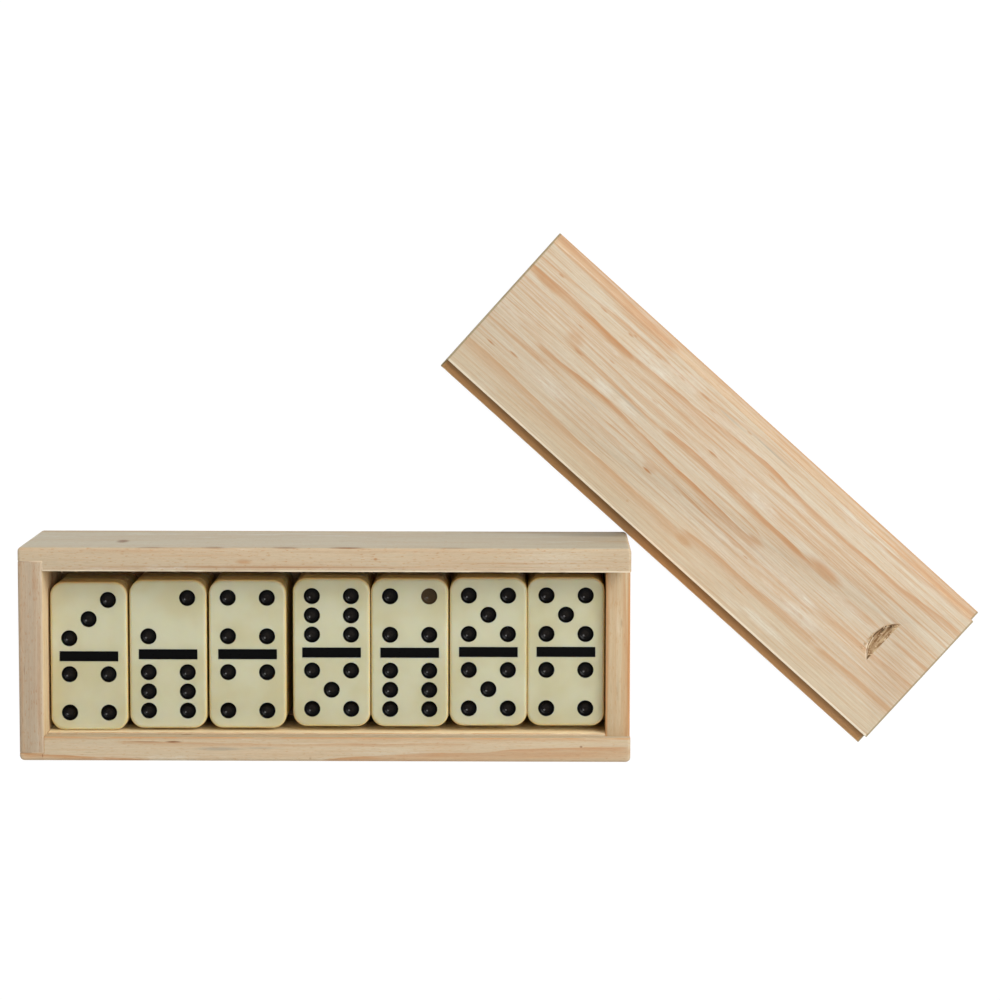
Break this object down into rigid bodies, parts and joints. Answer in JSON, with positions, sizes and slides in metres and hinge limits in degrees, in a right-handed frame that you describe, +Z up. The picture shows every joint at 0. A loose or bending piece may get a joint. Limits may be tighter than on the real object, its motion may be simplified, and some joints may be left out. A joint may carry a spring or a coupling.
{
  "type": "domino storage box",
  "caption": "Wooden storage box with grooved long walls, a low open end and a tongued slide-out lid with a thumb notch, filled with layers of dominoes.",
  "frame": {"origin": "centre of the box's underside, where the bottom panel rests", "axes": "+X along the box to its low open end, +Y to the back wall, +Z up out of the open top"},
  "size_m": [0.3047, 0.1651, 0.05],
  "materials": {
    "pine": "bare, sanded",
    "pine_lid": "bare, sanded",
    "ivory_resin": "satin, with glossy black paint in the pips and the bar"
  },
  "bodies": {
    "box": {"bottom_panel": "pine", "front_wall": "pine", "back_wall": "pine", "closed_end_wall": "pine", "open_end_wall": "pine"},
    "lid": {"lid": "pine_lid"},
    "domino_3_4": {"domino_3_4": "ivory_resin"},
    "domino_2_6": {"domino_2_6": "ivory_resin"},
    "domino_4_4": {"domino_4_4": "ivory_resin"},
    "domino_5_6": {"domino_5_6": "ivory_resin"},
    "domino_4_6": {"domino_4_6": "ivory_resin"},
    "domino_5_5": {"domino_5_5": "ivory_resin"},
    "domino_4_5": {"domino_4_5": "ivory_resin"},
    "domino_1_3": {"domino_1_3": "ivory_resin"},
    "domino_6_6": {"domino_6_6": "ivory_resin"},
    "domino_0_2": {"domino_0_2": "ivory_resin"},
    "domino_2_5": {"domino_2_5": "ivory_resin"},
    "domino_1_1": {"domino_1_1": "ivory_resin"},
    "domino_3_6": {"domino_3_6": "ivory_resin"},
    "domino_0_4": {"domino_0_4": "ivory_resin"},
    "domino_2_2": {"domino_2_2": "ivory_resin"},
    "domino_0_5": {"domino_0_5": "ivory_resin"},
    "domino_3_3": {"domino_3_3": "ivory_resin"},
    "domino_1_6": {"domino_1_6": "ivory_resin"},
    "domino_2_4": {"domino_2_4": "ivory_resin"},
    "domino_0_0": {"domino_0_0": "ivory_resin"},
    "domino_3_5": {"domino_3_5": "ivory_resin"},
    "domino_0_6": {"domino_0_6": "ivory_resin"},
    "domino_1_4": {"domino_1_4": "ivory_resin"},
    "domino_2_3": {"domino_2_3": "ivory_resin"},
    "domino_0_1": {"domino_0_1": "ivory_resin"},
    "domino_1_5": {"domino_1_5": "ivory_resin"},
    "domino_0_3": {"domino_0_3": "ivory_resin"},
    "domino_1_2": {"domino_1_2": "ivory_resin"}
  },
  "joints": [
    {"name": "lid_slide", "type": "slide", "parent": "box", "child": "lid", "axis": [0.7431, -0.6691, 0], "range_m": [0, 0.183]},
    {"name": "domino_0_6_lift", "type": "slide", "parent": "box", "child": "domino_0_6", "axis": [0, 0, 1], "range_m": [0, 0.05]},
    {"name": "domino_2_2_lift", "type": "slide", "parent": "domino_0_6", "child": "domino_2_2", "axis": [0, 0, 1], "range_m": [0, 0.05]},
    {"name": "domino_1_3_lift", "type": "slide", "parent": "domino_2_2", "child": "domino_1_3", "axis": [0, 0, 1], "range_m": [0, 0.05]},
    {"name": "domino_3_4_lift", "type": "slide", "parent": "domino_1_3", "child": "domino_3_4", "axis": [0, 0, 1], "range_m": [0, 0.05]},
    {"name": "domino_1_4_lift", "type": "slide", "parent": "box", "child": "domino_1_4", "axis": [0, 0, 1], "range_m": [0, 0.05]},
    {"name": "domino_0_5_lift", "type": "slide", "parent": "domino_1_4", "child": "domino_0_5", "axis": [0, 0, 1], "range_m": [0, 0.05]},
    {"name": "domino_6_6_lift", "type": "slide", "parent": "domino_0_5", "child": "domino_6_6", "axis": [0, 0, 1], "range_m": [0, 0.05]},
    {"name": "domino_2_6_lift", "type": "slide", "parent": "domino_6_6", "child": "domino_2_6", "axis": [0, 0, 1], "range_m": [0, 0.05]},
    {"name": "domino_2_3_lift", "type": "slide", "parent": "box", "child": "domino_2_3", "axis": [0, 0, 1], "range_m": [0, 0.05]},
    {"name": "domino_3_3_lift", "type": "slide", "parent": "domino_2_3", "child": "domino_3_3", "axis": [0, 0, 1], "range_m": [0, 0.05]},
    {"name": "domino_0_2_lift", "type": "slide", "parent": "domino_3_3", "child": "domino_0_2", "axis": [0, 0, 1], "range_m": [0, 0.05]},
    {"name": "domino_4_4_lift", "type": "slide", "parent": "domino_0_2", "child": "domino_4_4", "axis": [0, 0, 1], "range_m": [0, 0.05]},
    {"name": "domino_0_1_lift", "type": "slide", "parent": "box", "child": "domino_0_1", "axis": [0, 0, 1], "range_m": [0, 0.05]},
    {"name": "domino_1_6_lift", "type": "slide", "parent": "domino_0_1", "child": "domino_1_6", "axis": [0, 0, 1], "range_m": [0, 0.05]},
    {"name": "domino_2_5_lift", "type": "slide", "parent": "domino_1_6", "child": "domino_2_5", "axis": [0, 0, 1], "range_m": [0, 0.05]},
    {"name": "domino_5_6_lift", "type": "slide", "parent": "domino_2_5", "child": "domino_5_6", "axis": [0, 0, 1], "range_m": [0, 0.05]},
    {"name": "domino_1_5_lift", "type": "slide", "parent": "box", "child": "domino_1_5", "axis": [0, 0, 1], "range_m": [0, 0.05]},
    {"name": "domino_2_4_lift", "type": "slide", "parent": "domino_1_5", "child": "domino_2_4", "axis": [0, 0, 1], "range_m": [0, 0.05]},
    {"name": "domino_1_1_lift", "type": "slide", "parent": "domino_2_4", "child": "domino_1_1", "axis": [0, 0, 1], "range_m": [0, 0.05]},
    {"name": "domino_4_6_lift", "type": "slide", "parent": "domino_1_1", "child": "domino_4_6", "axis": [0, 0, 1], "range_m": [0, 0.05]},
    {"name": "domino_0_3_lift", "type": "slide", "parent": "box", "child": "domino_0_3", "axis": [0, 0, 1], "range_m": [0, 0.05]},
    {"name": "domino_0_0_lift", "type": "slide", "parent": "domino_0_3", "child": "domino_0_0", "axis": [0, 0, 1], "range_m": [0, 0.05]},
    {"name": "domino_3_6_lift", "type": "slide", "parent": "domino_0_0", "child": "domino_3_6", "axis": [0, 0, 1], "range_m": [0, 0.05]},
    {"name": "domino_5_5_lift", "type": "slide", "parent": "domino_3_6", "child": "domino_5_5", "axis": [0, 0, 1], "range_m": [0, 0.05]},
    {"name": "domino_1_2_lift", "type": "slide", "parent": "box", "child": "domino_1_2", "axis": [0, 0, 1], "range_m": [0, 0.05]},
    {"name": "domino_3_5_lift", "type": "slide", "parent": "domino_1_2", "child": "domino_3_5", "axis": [0, 0, 1], "range_m": [0, 0.05]},
    {"name": "domino_0_4_lift", "type": "slide", "parent": "domino_3_5", "child": "domino_0_4", "axis": [0, 0, 1], "range_m": [0, 0.05]},
    {"name": "domino_4_5_lift", "type": "slide", "parent": "domino_0_4", "child": "domino_4_5", "axis": [0, 0, 1], "range_m": [0, 0.05]}
  ]
}
